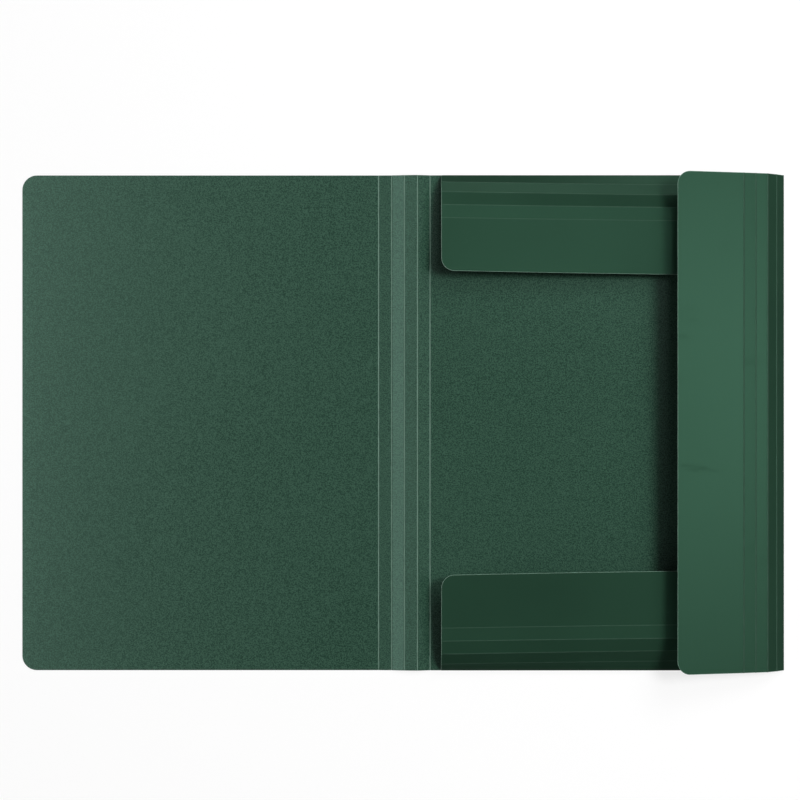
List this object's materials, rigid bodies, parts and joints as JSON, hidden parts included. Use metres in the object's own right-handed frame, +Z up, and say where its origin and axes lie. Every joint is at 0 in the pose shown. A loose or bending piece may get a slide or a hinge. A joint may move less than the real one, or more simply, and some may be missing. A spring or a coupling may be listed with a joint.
{
  "type": "elastic folder",
  "caption": "A4 three-flap document folder in dark green plastic sheet, open flat, with a scored spine, folded flaps and a closing elastic",
  "frame": {"origin": "middle of the footprint of the open folder, on the table it lies on", "axes": "+X from the front cover to the fore edge, +Y to the top edge, +Z up from the table, out of the inner faces"},
  "size_m": [0.4894, 0.318, 0.0317],
  "materials": {
    "grained_sheet": "fine sand grain",
    "satin_sheet": "satin",
    "elastic_weave": "woven",
    "clip_metal": "nickelled"
  },
  "bodies": {
    "base": {"back_panel": "grained_sheet", "elastic_band": "elastic_weave", "elastic_clip_top": "clip_metal", "elastic_clip_bottom": "clip_metal"},
    "spine_4": {"spine_strip_4": "grained_sheet"},
    "spine_3": {"spine_strip_3": "grained_sheet"},
    "spine_2": {"spine_strip_2": "grained_sheet"},
    "spine_1": {"spine_strip_1": "grained_sheet"},
    "cover": {"front_cover": "grained_sheet"},
    "fore_1": {"fore_edge_strip_1": "satin_sheet"},
    "fore_2": {"fore_edge_strip_2": "satin_sheet"},
    "fore_3": {"fore_edge_strip_3": "satin_sheet"},
    "fore_4": {"fore_edge_strip_4": "satin_sheet"},
    "flap": {"fore_edge_flap": "satin_sheet"}
  },
  "joints": [
    {"name": "spine_crease_5", "type": "hinge", "parent": "base", "child": "spine_4", "pos_m": [0.01738, 0, 0.0015], "axis": [0, 1, 0], "range_deg": [0, 74.77]},
    {"name": "spine_crease_4", "type": "hinge", "parent": "spine_4", "child": "spine_3", "pos_m": [0.00928, 0, 0.00371], "axis": [0, 1, 0], "range_deg": [0, 11.23]},
    {"name": "spine_crease_3", "type": "hinge", "parent": "spine_3", "child": "spine_2", "pos_m": [0.00092, 0, 0.00283], "axis": [0, 1, 0], "range_deg": [0, 7]},
    {"name": "spine_crease_2", "type": "hinge", "parent": "spine_2", "child": "spine_1", "pos_m": [-0.00726, 0, 0.00094], "axis": [0, 1, 0], "range_deg": [-10, 0]},
    {"name": "spine_crease_1", "type": "hinge", "parent": "spine_1", "child": "cover", "pos_m": [-0.01565, 0, 0.0005], "axis": [0, 1, 0], "range_deg": [0, 87]},
    {"name": "fore_crease_1", "type": "hinge", "parent": "base", "child": "fore_1", "pos_m": [0.24438, 0, 0.0015], "axis": [0, 1, 0], "range_deg": [0, 132]},
    {"name": "fore_crease_2", "type": "hinge", "parent": "fore_1", "child": "fore_2", "pos_m": [0.23876, 0, 0.00774], "axis": [0, 1, 0], "range_deg": [0, 8]},
    {"name": "fore_crease_3", "type": "hinge", "parent": "fore_2", "child": "fore_3", "pos_m": [0.23232, 0, 0.01314], "axis": [0, 1, 0], "range_deg": [0, 21]},
    {"name": "fore_crease_4", "type": "hinge", "parent": "fore_3", "child": "fore_4", "pos_m": [0.22434, 0, 0.01574], "axis": [0, 1, 0], "range_deg": [-1, 0]},
    {"name": "fore_crease_5", "type": "hinge", "parent": "fore_4", "child": "flap", "pos_m": [0.21639, 0, 0.01847], "axis": [0, 1, 0], "range_deg": [0, 2.7]}
  ]
}
